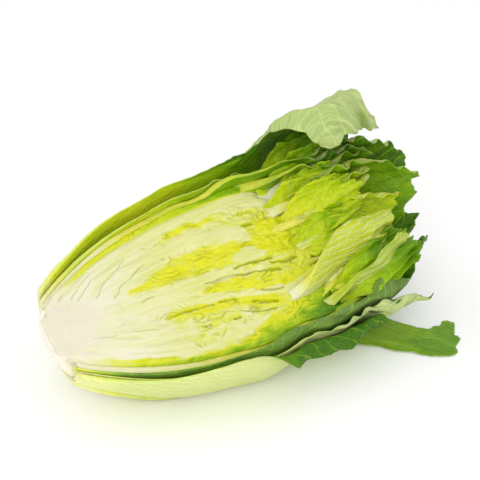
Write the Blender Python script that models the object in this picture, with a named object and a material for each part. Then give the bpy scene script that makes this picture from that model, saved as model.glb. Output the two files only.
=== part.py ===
# Half of a cos lettuce head, cut lengthwise and lying on its rounded back.
#
# The head has its own frame, in millimetres: x runs along the axis from the butt to the leaf tips, y
# runs across the cut face to its far edge, and z points out of the cut face. Round the axis, an azimuth
# of 0 degrees is the far edge of the cut, 90 is the back of the head and 180 is the near edge. The head
# is worked out in that frame, then tilted and set down on the ground.
#
# The leaves are nested shells. Each has a level: 0 is the axis, 1 the envelope of the closed head, and
# more than 1 an outer leaf. Leaves on levels of their own can't cross, whatever waves they share.

from dataclasses import dataclass

import bmesh
import bpy
import numpy as np

MM = 0.001

# Driving sizes of the head, in millimetres
BUTT_RADIUS = 20.0
BELLY_RADIUS = 57.0
BELLY_X = 122.0
TIP_RADIUS = 28.0
HEAD_END_X = 292.0
CORE_RADIUS = 17.5
CORE_LENGTH = 56.0
BUTT_DEPTH = 6.0
OUTER_PITCH = 60.0

# How the half lies: the cut face leans towards the near side, and the tips are a little raised
TILT_DEG = 25.0
PITCH_DEG = 4.0
AXIS_HEIGHT = 54.0
CENTRE_SHIFT_X = 139.8208
CENTRE_SHIFT_Y = -2.9134

# Walls, gaps, and how the weight presses the leaves together on the ground
BLADE = 0.9
GAP = 0.5
LEAST_WALL = 0.7
FLOOR_PITCH = 26.0
FLOOR_SOFTNESS = 2.0
OUTERMOST = 1.25

# Which row of a leaf's grid is its fold, how much of the margin lies beyond it where it is flat, and how
# closely the rows beyond it crowd towards it
FOLD_ROW = 2 / 3
LEAST_FOLD = 0.12
FLAP_CROWDING = 1.6

# Waves in the leaves
SHARED_WAVE = 1.5
SHARED_LENGTH = 47.0
OWN_LENGTH = 38.0

LEAF_GREEN = (0.20, 0.40, 0.04)
MID_GREEN = (0.36, 0.58, 0.06)
HEART_YELLOW = (0.78, 0.80, 0.16)
RIB_CREAM = (0.86, 0.86, 0.66)


@dataclass
class Leaf:
    """One leaf. start and end are the azimuths of its edges at the belly, tip is the x of its tip."""

    name: str
    level: float
    start: float
    end: float
    tip: float
    colour: tuple = HEART_YELLOW
    cut: str = ""  # the edge that the knife made: start or end, or neither
    rib_at: float = 0.0  # azimuth of the midrib
    rib: float = 0.0  # greatest thickness that the midrib adds
    rib_width: float = 11.0
    narrow: float = 0.75  # width at the foot, as a share of the width at the belly
    tip_width: float = 0.9  # width at the tip, likewise
    lean: float = 0.0  # degrees that the middle of the tip lies away from the middle of the leaf
    change_x: float = 165.0  # where tip_width and lean begin to count
    point: float = 0.16  # how far the corners of the tip are drawn back, as a share of the length
    skew: float = 0.0  # how far the tip reaches on at the end edge, and draws back at the start edge
    notch: float = 0.0  # how far the tip is drawn back at the fold
    wave: float = 0.5  # own waves
    edge_wave: float = 3.0  # waves along the tip
    rise: float = 0.0  # degrees that the cut edge gains above the cut plane
    rise_x: float = 170.0  # where it begins to
    flare: float = 0.0  # how far the tip leans out
    flare_x: float = 150.0
    hood: float = 0.0  # share of its radius by which the tip closes over the end of the head
    droop: float = 0.0  # how far the tip sinks towards the ground
    grounded: bool = False  # whether nothing lies between it and the ground
    fold: float = 0.0  # degrees that a margin turns over; more than 0 is towards the near side
    fold_at: float = 0.8  # where across the leaf the fold lies
    fold_x: float = 160.0  # where the fold leaves the margin
    fold_full_x: float = 240.0  # where it lies at fold_at
    fold_radius: float = 4.0
    fold_opening: float = 50.0  # over what length of the leaf it turns over
    segments: tuple = (10, 15)  # across and along


FAR = 0.0
NEAR = 180.0

LEAVES = [
    Leaf("heart_leaf_1", 0.12, FAR, 98, 206, cut="start", point=0.10, segments=(6, 11)),
    Leaf("far_leaf_1", 0.21, FAR, 140, 222, cut="start", rise=30, rise_x=140, segments=(8, 13)),
    Leaf(
        "far_leaf_2", 0.33, FAR, 128, 254, cut="start", rise=44, rise_x=175, flare=6, flare_x=170,
        hood=0.6, point=0.06, segments=(9, 14),
    ),
    Leaf(
        "far_leaf_3", 0.45, FAR, 122, 238, cut="start", rib_at=4, rib=6.6, rise=26, rise_x=150, flare=6,
        flare_x=170, segments=(9, 14),
    ),
    Leaf("far_leaf_4", 0.59, FAR, 116, 240, MID_GREEN, "start", rise=32, rise_x=160, flare=6, flare_x=170),
    Leaf(
        "far_leaf_5", 0.72, FAR, 112, 276, MID_GREEN, "start", rib_at=3, rib=7.0, rise=32, rise_x=165,
        flare=8, flare_x=170, hood=0.45, point=0.10, edge_wave=4,
    ),
    Leaf("far_leaf_6", 0.88, FAR, 108, 250, MID_GREEN, "start", rise=20, rise_x=140, flare=6, flare_x=170),
    Leaf(
        "far_leaf_7", 1.0, FAR, 104, 246, LEAF_GREEN, "start", rib_at=50, rib=2.5, rise=21, rise_x=120,
        flare=4, flare_x=170, edge_wave=4,
    ),
    Leaf(
        "heart_leaf_2", 0.05, 136, NEAR, 196, cut="end", rib_at=178, rib=9.0, rib_width=9, point=0.12,
        segments=(6, 11),
    ),
    Leaf("near_leaf_1", 0.27, 54, NEAR, 205, cut="end", point=0.12, segments=(8, 13)),
    Leaf("near_leaf_2", 0.39, 56, NEAR, 216, cut="end", rise=16, rise_x=140, segments=(9, 14)),
    Leaf(
        "near_leaf_3", 0.52, 58, NEAR, 230, cut="end", rib_at=176, rib=5.5, rise=66, rise_x=135, flare=2,
        point=0.05,
    ),
    Leaf("near_leaf_4", 0.65, 62, NEAR, 220, cut="end", segments=(9, 14)),
    Leaf(
        "near_leaf_5", 0.79, 66, NEAR, 234, MID_GREEN, "end", rib_at=174, rib=5.0, rise=34, rise_x=165,
        point=0.12, edge_wave=4,
    ),
    Leaf("near_leaf_6", 0.94, 70, NEAR, 231, LEAF_GREEN, "end", rib_at=140, rib=1.5, rise=-18, rise_x=170),
    Leaf(
        "curled_tip_leaf", 1.085, 54, -4, 284, LEAF_GREEN, rib_at=24, rib=4.5, rib_width=13, lean=-10,
        tip_width=1.2, point=0.1, edge_wave=4, flare=6, flare_x=170,
    ),
    Leaf(
        "back_leaf", 1.085, 59, 119, 276, LEAF_GREEN, rib_at=90, rib=5.5, rib_width=15, edge_wave=5,
        tip_width=1.05, lean=-4, hood=0.4, segments=(10, 15),
    ),
    Leaf(
        "rolled_near_leaf", 1.085, 124, 189, 264, LEAF_GREEN, rib_at=138, rib=4.0, rib_width=13,
        point=0.2, tip_width=0.8, lean=-8, change_x=190, hood=0.36, fold=-75, fold_at=0.86, fold_x=85,
        fold_full_x=125, fold_radius=6, edge_wave=4, segments=(12, 15),
    ),
    Leaf(
        "curled_near_leaf", 1.15, 153, 181, 242, LEAF_GREEN, rib_at=162, wave=0.2, tip_width=0.9, lean=-4,
        flare=20, flare_x=175, fold=-150, fold_at=0.6, fold_x=200, fold_full_x=235, fold_radius=5,
        edge_wave=4, segments=(9, 13),
    ),
    Leaf(
        "outer_far_leaf", 1.2, 84, -10, 256, LEAF_GREEN, rib_at=44, rib=6.0, rib_width=16, narrow=0.9,
        lean=-26, tip_width=1.55, change_x=158, flare=34, flare_x=142, fold=146, fold_at=0.83,
        fold_full_x=250, fold_radius=5, fold_opening=80, skew=18, notch=26, point=0.02, edge_wave=4,
        grounded=True, segments=(18, 19),
    ),
    Leaf(
        "outer_near_leaf", 1.2, 90, 190, 204, LEAF_GREEN, rib_at=138, rib=6.0, rib_width=16,
        flare=3, flare_x=140, fold=155, fold_at=0.88, fold_x=92, fold_full_x=140, fold_radius=3,
        skew=-6, point=0.03, segments=(15, 16),
    ),
    Leaf(
        "long_near_leaf", 1.25, 92, 146, 241, LEAF_GREEN, rib_at=118, rib=4.0, rib_width=14, lean=28,
        tip_width=0.64, change_x=175, flare=74, flare_x=165, droop=3, fold=-70, fold_at=0.84,
        fold_x=150, fold_full_x=235, fold_radius=7, skew=-14, point=0.02, grounded=True, segments=(15, 16),
    ),
]


def ease(x, low, high):
    """0 before low, 1 after high, and a smooth step between them."""
    t = np.clip((x - low) / (high - low), 0.0, 1.0)
    return t * t * (3 - 2 * t)


def envelope(x):
    """Radius of the closed head: quick to swell behind the butt, slow to narrow towards the tips."""
    swell = np.clip(x / BELLY_X, 0.0, 1.0) ** 0.85
    shrink = np.clip((x - BELLY_X) / (HEAD_END_X - BELLY_X), 0.0, 1.0) ** 1.15
    rising = BUTT_RADIUS + (BELLY_RADIUS - BUTT_RADIUS) * np.sin(np.pi / 2 * swell)
    falling = TIP_RADIUS + (BELLY_RADIUS - TIP_RADIUS) * np.cos(np.pi / 2 * shrink)
    return np.where(x < BELLY_X, rising, falling)


def core_radius(x):
    """Radius of the stem inside the head, which ends in a point at CORE_LENGTH."""
    return CORE_RADIUS * (1 - np.clip(x / CORE_LENGTH, 0.0, 1.0) ** 1.6) ** 0.8


def shell(x, level):
    """Radius of a shell. Below level 1 it leaves the stem where the stem has narrowed to its level."""
    foot = 1 - np.clip(x / CORE_LENGTH, 0.0, 1.0)
    core = core_radius(x) + GAP
    share = np.clip((level - foot) / np.maximum(1 - foot, 1e-6), 0.0, 1.0)
    inside = core + (envelope(x) - core) * share
    outside = envelope(x) + (level - 1) * OUTER_PITCH * (0.5 + 0.5 * ease(x, -5.0, 60.0))
    return np.where(level <= 1, inside, outside)


def centre_shift(x):
    """How far the axis lies from the middle of the cut face: the stem grew towards the near side."""
    return -5.0 + 2.0 * ease(x, 90.0, 150.0)


def shared_wave(x, azimuth, radius):
    """Waves that neighbouring leaves have in common, because they grew pressed together."""
    reach = SHARED_WAVE * ease(x, 45.0, 170.0) * np.minimum(radius / 14.0, 1.0)
    turn = azimuth * 2.6 + radius / 21.0
    along = 2 * np.pi * x / SHARED_LENGTH
    return reach * (np.sin(along + 1.4 * np.sin(turn)) + 0.6 * np.sin(0.57 * along + turn + 1.0))


def own_wave(leaf, x, azimuth, radius, number):
    """A leaf's own shallow waves."""
    reach = leaf.wave * ease(x, 60.0, 200.0) * np.minimum(radius / 14.0, 1.0)
    along = 2 * np.pi * x / OWN_LENGTH
    return reach * np.sin(along + 1.7 * number) * np.sin(3.1 * azimuth + 0.9 * number)


def outline(leaf, row, along, number):
    """Where a leaf's points lie along the head and round it, for row and along from 0 to 1.

    The rows run from the start edge to the end edge, and where a margin turns over they follow the fold.
    """
    foot_x = np.maximum(CORE_LENGTH * (1 - leaf.level), 0.0) + 1.5
    across = row
    if leaf.fold:
        rough_x = foot_x + (leaf.tip - foot_x) * along
        grown = ease(rough_x, leaf.fold_x, leaf.fold_full_x)
        line = 1 - (1 - leaf.fold_at) * (LEAST_FOLD + (1 - LEAST_FOLD) * grown)
        before = row / FOLD_ROW * line
        after = line + np.maximum((row - FOLD_ROW) / (1 - FOLD_ROW), 0.0) ** FLAP_CROWDING * (1 - line)
        across = np.where(row < FOLD_ROW, before, after)
    middle = 0.15 if leaf.cut == "start" else 0.85 if leaf.cut == "end" else 0.5
    off = np.abs(across - middle) / max(middle, 1 - middle)
    ragged = leaf.edge_wave * np.sin(across * 19.0 + 2.3 * number) * ease(along, 0.6, 1.0)
    notch = leaf.notch * np.exp(-(((across - leaf.fold_at) / 0.13) ** 2))
    tip = leaf.tip * (1 - leaf.point * off**2.4) + leaf.skew * (2 * across - 1) - notch
    x = foot_x + (tip - foot_x) * along + ragged
    changed = ease(x, leaf.change_x, leaf.change_x + 60.0)
    width = leaf.narrow + (1 - leaf.narrow) * ease(along, 0.0, 0.5)
    width = width + (leaf.tip_width - 1) * changed
    rise = leaf.rise * ease(x, leaf.rise_x, leaf.rise_x + 60.0)
    span = leaf.end - leaf.start
    if leaf.cut == "start":
        azimuth = leaf.start - rise * (1 - across) ** 2 + span * across * width
    elif leaf.cut == "end":
        azimuth = leaf.end + rise * across**2 - span * (1 - across) * width
    else:
        azimuth = (leaf.start + leaf.end) / 2 + leaf.lean * changed + span * (across - 0.5) * width
    return x, np.radians(azimuth)


def flare_share(leaf, row):
    """How much of the flare a row takes: none where leaves of both sides meet at the back of the head."""
    if leaf.cut == "start":
        return 1 - ease(row, 0.15, 0.45)
    if leaf.cut == "end":
        return ease(row, 0.55, 0.85)
    return 0.3 + 0.7 * row


def room(leaf, azimuth):
    """How many levels are free outside a leaf at an azimuth, in radians."""
    degrees = np.degrees(azimuth)
    free = 0.14 + 0.0 * degrees
    for other in LEAVES:
        if other.level > leaf.level:
            low = min(other.start, other.end) - 10 - (other.rise if other.cut == "start" else 0)
            high = max(other.start, other.end) + 10 + (other.rise if other.cut == "end" else 0)
            inside = ease(degrees, low - 12, low) * (1 - ease(degrees, high, high + 12))
            free = np.minimum(free, other.level - leaf.level + 0.5 * (1 - inside))
    return free


def thickness(leaf, x, azimuth, radius, along):
    """Blade, midrib, and the crumpled tissue packed behind a cut edge, as far as the next leaf allows."""
    free = shell(x, leaf.level + room(leaf, azimuth)) - shell(x, leaf.level) - GAP
    from_rib = (azimuth - np.radians(leaf.rib_at)) * radius
    rib = leaf.rib * np.exp(-((from_rib / leaf.rib_width) ** 2)) * (1 - ease(along, 0.45, 0.9))
    edge = FAR if leaf.cut == "start" else NEAR
    from_cut = (azimuth - np.radians(edge)) * radius
    packed = 0.8 * free * np.exp(-((from_cut / 10.0) ** 2)) * (1 - ease(along, 0.6, 0.9))
    foot = 1.6 * (1 - ease(x, 20.0, 90.0))
    wanted = BLADE + np.maximum(rib, packed if leaf.cut else 0.0) + foot
    most = 0.82 if leaf.cut else 0.7
    return np.maximum(np.minimum(wanted, most * free), LEAST_WALL)


def turned(across, angle):
    """Steps across the head, as y and z in the last axis, turned by an angle in radians."""
    y, z = across[..., 0], across[..., 1]
    return np.stack([np.cos(angle) * y - np.sin(angle) * z, np.sin(angle) * y + np.cos(angle) * z], axis=-1)


def turned_over(leaf, x, inner, outer, row):
    """Turns a margin over: from the fold on, each step across the leaf is turned a little further."""
    steps = np.diff(inner[..., 1:], axis=0)
    beyond = np.where(row[1:] > FOLD_ROW + 1e-6, np.hypot(steps[..., 0], steps[..., 1]), 0.0)
    length = np.cumsum(beyond, axis=0)
    full = leaf.fold_radius * np.abs(np.radians(leaf.fold))
    most = np.radians(leaf.fold) * ease(x[1:], leaf.fold_x, leaf.fold_x + leaf.fold_opening)
    steps = turned(steps, most * np.clip((length - beyond / 2) / full, 0.0, 1.0))
    walls = outer - inner
    walls[1:, :, 1:] = turned(walls[1:, :, 1:], most * np.clip(length / full, 0.0, 1.0))
    inner = inner.copy()
    inner[1:, :, 1:] = inner[:1, :, 1:] + np.cumsum(steps, axis=0)
    inner[..., 2] = np.maximum(inner[..., 2], LEAST_WALL)
    outer = inner + walls
    outer[..., 2] = np.maximum(outer[..., 2], 0.0)
    return inner, outer


def set_down(points, level, droop, least):
    """From the head's frame to the world's, with what would sink into the ground pressed flat on it.

    least is the lowest height that a point may have.
    """
    tilt, pitch = np.radians(TILT_DEG), np.radians(PITCH_DEG)
    x, y, z = np.moveaxis(points, -1, 0)
    across, up = np.cos(tilt) * y - np.sin(tilt) * z, np.sin(tilt) * y + np.cos(tilt) * z
    forward = np.cos(pitch) * x - np.sin(pitch) * up
    height = np.sin(pitch) * x + np.cos(pitch) * up + AXIS_HEIGHT - droop
    floor = (OUTERMOST - level) * FLOOR_PITCH - 0.3 + least
    height = floor + FLOOR_SOFTNESS * np.logaddexp(0.0, (height - floor) / FLOOR_SOFTNESS)
    height = np.maximum(height, least)
    return np.stack([forward - CENTRE_SHIFT_X, across - CENTRE_SHIFT_Y, height], axis=-1)


def leaf_sheets(leaf, number):
    """The inner and the outer side of a leaf, as two grids of points in the world's frame."""
    n_across, n_along = leaf.segments
    row, along = np.meshgrid(np.linspace(0, 1, n_across + 1), np.linspace(0, 1, n_along + 1), indexing="ij")
    x, azimuth = outline(leaf, row, along**0.9, number)
    radius = shell(x, leaf.level)
    wall = thickness(leaf, x, azimuth, radius, along)
    radius = radius + shared_wave(x, azimuth, radius) + own_wave(leaf, x, azimuth, radius, number)
    radius = radius + leaf.flare * ease(x, leaf.flare_x, leaf.flare_x + 88.0) * flare_share(leaf, row)
    radius = radius * (1 - leaf.hood * ease(x, leaf.tip - 45.0, leaf.tip + 5.0))
    out_y, out_z = np.cos(azimuth), -np.sin(azimuth)
    droop = leaf.droop * ease(x, 190.0, leaf.tip)
    level = OUTERMOST if leaf.grounded else leaf.level
    sheets = []
    for reach, least in ((radius, LEAST_WALL), (radius + wall, 0.0)):
        points = np.stack([x, centre_shift(x) + reach * out_y, reach * out_z], axis=-1)
        sheets.append(set_down(points, level, droop, least))
    if leaf.fold:
        return turned_over(leaf, x, *sheets, row)
    return sheets


def material(name, colour, roughness):
    made = bpy.data.materials.new(name)
    made.use_nodes = True
    shader = made.node_tree.nodes["Principled BSDF"]
    shader.inputs["Base Color"].default_value = (*colour, 1.0)
    shader.inputs["Roughness"].default_value = roughness
    made.diffuse_color = (*colour, 1.0)
    return made


def place(name, bm, colour, roughness=0.45):
    """A new object from a mesh in millimetres, with its faces pointing out."""
    bmesh.ops.recalc_face_normals(bm, faces=bm.faces)
    if bm.calc_volume(signed=True) < 0:
        bmesh.ops.reverse_faces(bm, faces=bm.faces)
    bmesh.ops.scale(bm, vec=(MM, MM, MM), verts=bm.verts)
    mesh = bpy.data.meshes.new(name)
    bm.to_mesh(mesh)
    bm.free()
    mesh.shade_smooth()
    mesh.set_sharp_from_angle(angle=np.radians(50))
    mesh.materials.append(material(name, colour, roughness))
    made = bpy.data.objects.new(name, mesh)
    bpy.context.scene.collection.objects.link(made)
    return made


def leaf_object(leaf, number):
    """A closed leaf: two sheets whose quads are split alike, and a rim round them."""
    bm = bmesh.new()
    grids = [[[bm.verts.new(p) for p in row] for row in sheet] for sheet in leaf_sheets(leaf, number)]
    n_across, n_along = leaf.segments
    for grid in grids:
        for i in range(n_across):
            for j in range(n_along):
                a, b = grid[i][j], grid[i + 1][j]
                c, d = grid[i + 1][j + 1], grid[i][j + 1]
                bm.faces.new((a, b, c))
                bm.faces.new((a, c, d))
    loops = []
    for grid in grids:
        loop = [grid[i][0] for i in range(n_across)]
        loop += [grid[n_across][j] for j in range(n_along)]
        loop += [grid[i][n_along] for i in range(n_across, 0, -1)]
        loop += [grid[0][j] for j in range(n_along, 0, -1)]
        loops.append(loop)
    for k in range(len(loops[0])):
        nxt = (k + 1) % len(loops[0])
        a, b, c, d = loops[0][k], loops[0][nxt], loops[1][nxt], loops[1][k]
        bm.faces.new((a, b, c))
        bm.faces.new((a, c, d))
    return place(leaf.name, bm, leaf.colour)


def stem_object():
    """The stem: half a solid of revolution, whose flat side lies in the cut face."""
    stations = [(-BUTT_DEPTH, 9.0), (-BUTT_DEPTH + 1, 13.0), (-3.0, 14.6)]
    stations += [(x, float(core_radius(x))) for x in np.linspace(0.0, CORE_LENGTH - 1.5, 12)]
    bm = bmesh.new()
    rows = []
    for x, radius in stations:
        angles = np.linspace(0, np.pi, 17)
        y, z = centre_shift(x) + radius * np.cos(angles), -radius * np.sin(angles)
        ring = set_down(np.stack([0 * angles + x, y, z], axis=-1), 0.0, 0.0, 0.0)
        rows.append([bm.verts.new(p) for p in ring])
    for a, b in zip(rows, rows[1:]):
        for k in range(len(a) - 1):
            bm.faces.new((a[k], a[k + 1], b[k + 1], b[k]))
        bm.faces.new((a[0], b[0], b[-1], a[-1]))
    bm.faces.new(rows[0])
    bm.faces.new(rows[-1])
    return place("stem", bm, RIB_CREAM, 0.5)


def main():
    for obj in list(bpy.data.objects):
        bpy.data.objects.remove(obj)
    stem_object()
    for number, leaf in enumerate(LEAVES):
        leaf_object(leaf, number)


main()
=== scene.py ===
# %% [markdown]
# # Half a cos lettuce head
# A head of cos lettuce was cut in half lengthwise, and this half lies on its rounded back with the cut face
# up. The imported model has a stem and 22 nested leaves, each a plain sheet. Here each of them gets its ruffled
# margin, its crumpled tissue and its veins. We load the model first, because every piece stands for one of
# its nodes and has to stay where that node is.

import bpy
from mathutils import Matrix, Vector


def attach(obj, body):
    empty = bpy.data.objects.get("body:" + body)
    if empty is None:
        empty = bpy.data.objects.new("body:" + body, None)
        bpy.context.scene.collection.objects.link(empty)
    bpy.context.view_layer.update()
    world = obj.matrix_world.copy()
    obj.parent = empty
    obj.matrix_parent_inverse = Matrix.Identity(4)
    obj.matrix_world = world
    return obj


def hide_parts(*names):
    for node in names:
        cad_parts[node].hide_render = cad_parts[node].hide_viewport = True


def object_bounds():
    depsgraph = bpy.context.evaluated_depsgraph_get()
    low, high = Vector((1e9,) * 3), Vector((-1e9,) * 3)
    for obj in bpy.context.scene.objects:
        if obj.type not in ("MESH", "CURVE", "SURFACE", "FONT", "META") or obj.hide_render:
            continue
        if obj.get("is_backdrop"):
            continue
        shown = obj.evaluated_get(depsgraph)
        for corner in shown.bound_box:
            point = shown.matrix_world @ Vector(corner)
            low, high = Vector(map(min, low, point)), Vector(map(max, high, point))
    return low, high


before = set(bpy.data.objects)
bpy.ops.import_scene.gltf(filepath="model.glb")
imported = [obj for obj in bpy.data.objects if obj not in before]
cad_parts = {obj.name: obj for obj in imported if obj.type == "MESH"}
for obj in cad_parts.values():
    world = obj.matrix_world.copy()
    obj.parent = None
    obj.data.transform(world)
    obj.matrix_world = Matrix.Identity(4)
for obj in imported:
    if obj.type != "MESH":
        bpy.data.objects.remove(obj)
cad_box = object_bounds()
print("nodes in the frame:", len(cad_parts))

# %% [markdown]
# ## Sizes
# A leaf is easiest to describe on the head that it grew on. The head's own frame is in millimetres: x runs
# along the axis from the butt to the tips, y runs across the cut face to its far edge, and z points out of
# the cut face. Round the axis, an azimuth of 0 degrees is the far edge of the cut, 90 is the back and 180 is
# the near edge. A level says how far out a leaf's shell lies: 0 is the axis, 1 the closed head, and more
# than 1 an outer leaf. The numbers are those that the model was built from, so the pieces fit it.

# %% Sizes of the head
from dataclasses import dataclass

import bpy
import numpy as np
from mathutils import Matrix, Vector

MM = 0.001
BUTT_RADIUS, BELLY_RADIUS, TIP_RADIUS = 20.0, 57.0, 28.0
BELLY_X, HEAD_END_X = 122.0, 292.0
SWELL_POWER, SHRINK_POWER = 0.85, 1.15
CORE_RADIUS, CORE_LENGTH, BUTT_DEPTH = 17.5, 56.0, 6.0
OUTER_PITCH, OUTERMOST = 60.0, 1.25
TILT_DEG, PITCH_DEG, AXIS_HEIGHT = 25.0, 4.0, 54.0
CENTRE_SHIFT_X, CENTRE_SHIFT_Y = 139.8208, -2.9134
BLADE, GAP, LEAST_WALL = 0.9, 0.5, 0.7
FLOOR_PITCH, FLOOR_SOFTNESS = 26.0, 2.0
FOLD_ROW, LEAST_FOLD, FLAP_CROWDING = 2 / 3, 0.12, 1.6
SHARED_WAVE, SHARED_LENGTH, OWN_LENGTH = 1.5, 47.0, 38.0
print(f"the head is {HEAD_END_X:.0f} mm long and {2 * BELLY_RADIUS:.0f} mm across")


# %% What one leaf is
@dataclass
class Leaf:
    """One leaf. start and end are the azimuths of its edges at the belly, tip is the x of its tip."""

    name: str
    level: float
    start: float
    end: float
    tip: float
    green: float  # how green it is at the tip, from 0 for cream to 1 for the darkest green
    cut: str = ""  # the edge that the knife made: start or end, or neither
    rib_at: float = 0.0
    rib: float = 0.0
    rib_width: float = 11.0
    narrow: float = 0.75
    tip_width: float = 0.9
    lean: float = 0.0
    change_x: float = 165.0
    point: float = 0.16
    skew: float = 0.0
    notch: float = 0.0
    wave: float = 0.5
    edge_wave: float = 3.0
    rise: float = 0.0
    rise_x: float = 170.0
    flare: float = 0.0
    flare_x: float = 150.0
    flare_even: float = 0.3  # how much of the flare the first row of a whole leaf takes
    hood: float = 0.0
    droop: float = 0.0
    grounded: bool = False
    fold: float = 0.0
    fold_at: float = 0.8
    fold_x: float = 160.0
    fold_full_x: float = 240.0
    fold_radius: float = 4.0
    fold_opening: float = 50.0
    ruffle: float = 1.6  # how far the margin waves in and out, in millimetres
    foot_green: float = 0.44  # how green an outer leaf is near its foot
    pale: float = 1.0  # how much paler its underside is


# %% [markdown]
# ## The leaves
# The far half of the head and the near half each hold seven or eight leaves that the knife went through, and
# seven whole leaves wrap round the outside. Each line names a leaf of the model and says where it lies. The
# greens follow the light that each leaf had: the heart stayed yellow, and the outermost leaves are dark.

# %% The leaves
FAR, NEAR = 0.0, 180.0
LEAVES = [
    Leaf("heart_leaf_1", 0.12, FAR, 98, 206, 0.50, "start", point=0.10),
    Leaf("far_leaf_1", 0.21, FAR, 140, 222, 0.55, "start", rise=30, rise_x=140),
    Leaf("far_leaf_2", 0.33, FAR, 128, 254, 0.5, "start", rise=44, rise_x=175, flare=6, flare_x=170,
         hood=0.6, point=0.06, ruffle=2.6),
    Leaf("far_leaf_3", 0.45, FAR, 122, 238, 0.66, "start", rib_at=4, rib=6.6, rise=26, rise_x=150, flare=6,
         flare_x=170, ruffle=2.4),
    Leaf("far_leaf_4", 0.59, FAR, 116, 240, 0.70, "start", rise=32, rise_x=160, flare=6, flare_x=170,
         ruffle=2.4),
    Leaf("far_leaf_5", 0.72, FAR, 112, 276, 0.76, "start", rib_at=3, rib=7.0, rise=32, rise_x=165, flare=8,
         flare_x=170, hood=0.45, point=0.10, edge_wave=4, ruffle=2.8),
    Leaf("far_leaf_6", 0.88, FAR, 108, 250, 0.82, "start", rise=20, rise_x=140, flare=6, flare_x=170,
         ruffle=2.4),
    Leaf("far_leaf_7", 1.0, FAR, 104, 246, 0.92, "start", rib_at=50, rib=2.5, rise=21, rise_x=120, flare=4,
         flare_x=170, edge_wave=4, ruffle=2.4),
    Leaf("heart_leaf_2", 0.05, 136, NEAR, 196, 0.48, "end", rib_at=178, rib=9.0, rib_width=9, point=0.12,
         ruffle=0.6),
    Leaf("near_leaf_1", 0.27, 54, NEAR, 205, 0.54, "end", point=0.12),
    Leaf("near_leaf_2", 0.39, 56, NEAR, 216, 0.58, "end", rise=16, rise_x=140),
    Leaf("near_leaf_3", 0.52, 58, NEAR, 230, 0.62, "end", rib_at=176, rib=5.5, rise=66, rise_x=135, flare=2,
         point=0.05, ruffle=3.0),
    Leaf("near_leaf_4", 0.65, 62, NEAR, 220, 0.68, "end"),
    Leaf("near_leaf_5", 0.79, 66, NEAR, 234, 0.80, "end", rib_at=174, rib=5.0, rise=34, rise_x=165,
         point=0.12, edge_wave=4, ruffle=2.0),
    Leaf("near_leaf_6", 0.94, 70, NEAR, 231, 0.90, "end", rib_at=140, rib=1.5, rise=-18, rise_x=170),
    Leaf("curled_tip_leaf", 1.085, 54, -4, 284, 0.94, rib_at=24, rib=4.5, rib_width=13, lean=-10,
         tip_width=1.2, point=0.1, edge_wave=4, flare=6, flare_x=170, ruffle=2.6, foot_green=0.5),
    Leaf("back_leaf", 1.085, 59, 119, 276, 0.96, rib_at=90, rib=5.5, rib_width=15, edge_wave=5,
         tip_width=1.05, lean=-4, hood=0.4, ruffle=3.0),
    Leaf("rolled_near_leaf", 1.085, 124, 186, 264, 1.02, rib_at=138, rib=4.0, rib_width=13, point=0.2,
         tip_width=0.8, lean=-8, change_x=190, hood=0.36, fold=-75, fold_at=0.9, fold_x=85,
         fold_full_x=125, fold_radius=6, edge_wave=4, ruffle=2.6, foot_green=0.9, pale=0.2),
    Leaf("curled_near_leaf", 1.15, 153, 181, 242, 0.94, rib_at=162, wave=0.2, tip_width=0.9, lean=-4,
         flare=20, flare_x=175, fold=-150, fold_at=0.6, fold_x=200, fold_full_x=235, fold_radius=5,
         edge_wave=4, ruffle=1.6),
    Leaf("outer_far_leaf", 1.2, 84, -10, 256, 0.95, rib_at=44, rib=6.0, rib_width=16, narrow=0.9,
         lean=-26, tip_width=1.55, change_x=158, flare=34, flare_x=142, fold=112, fold_at=0.81,
         fold_x=152, fold_full_x=276, fold_radius=5, fold_opening=64, skew=18, notch=26, point=0.02,
         edge_wave=4, grounded=True, ruffle=1.6, foot_green=0.46),
    Leaf("outer_near_leaf", 1.2, 90, 190, 204, 1.0, rib_at=138, rib=6.0, rib_width=16, flare=3,
         flare_x=140, fold=155, fold_at=0.88, fold_x=92, fold_full_x=140, fold_radius=3, skew=-6,
         point=0.03, ruffle=1.2, foot_green=0.66),
    Leaf("long_near_leaf", 1.25, 92, 146, 251, 0.76, rib_at=118, rib=4.0, rib_width=14, lean=36.4,
         tip_width=0.33, change_x=185, flare=60, flare_x=165, flare_even=0.6, droop=3, fold=-70, fold_at=0.84,
         fold_x=150, fold_full_x=235, fold_radius=7, skew=-15, point=0.02, grounded=True, ruffle=1.4, pale=0.8),
]
print("leaves:", len(LEAVES), "of which cut:", sum(bool(leaf.cut) for leaf in LEAVES))

# %% [markdown]
# ## The shells that leaves lie on
# Leaves that grew pressed together share their shape, like the layers of an onion. A formula for the radius
# of each layer, with waves that neighbours have in common, keeps the leaves apart and parallel. Modelling
# each leaf freely would look livelier, but then leaves would cut through each other.


# %% Radius of a shell
def ease(x, low, high):
    """0 before low, 1 after high, and a smooth step between them."""
    t = np.clip((x - low) / (high - low), 0.0, 1.0)
    return t * t * (3 - 2 * t)


def envelope(x):
    """Radius of the closed head."""
    swell = np.clip(x / BELLY_X, 0.0, 1.0) ** SWELL_POWER
    shrink = np.clip((x - BELLY_X) / (HEAD_END_X - BELLY_X), 0.0, 1.0) ** SHRINK_POWER
    rising = BUTT_RADIUS + (BELLY_RADIUS - BUTT_RADIUS) * np.sin(np.pi / 2 * swell)
    falling = TIP_RADIUS + (BELLY_RADIUS - TIP_RADIUS) * np.cos(np.pi / 2 * shrink)
    return np.where(x < BELLY_X, rising, falling)


def core_radius(x):
    """Radius of the stem inside the head, which ends in a point at CORE_LENGTH."""
    return CORE_RADIUS * (1 - np.clip(x / CORE_LENGTH, 0.0, 1.0) ** 1.6) ** 0.8


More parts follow.
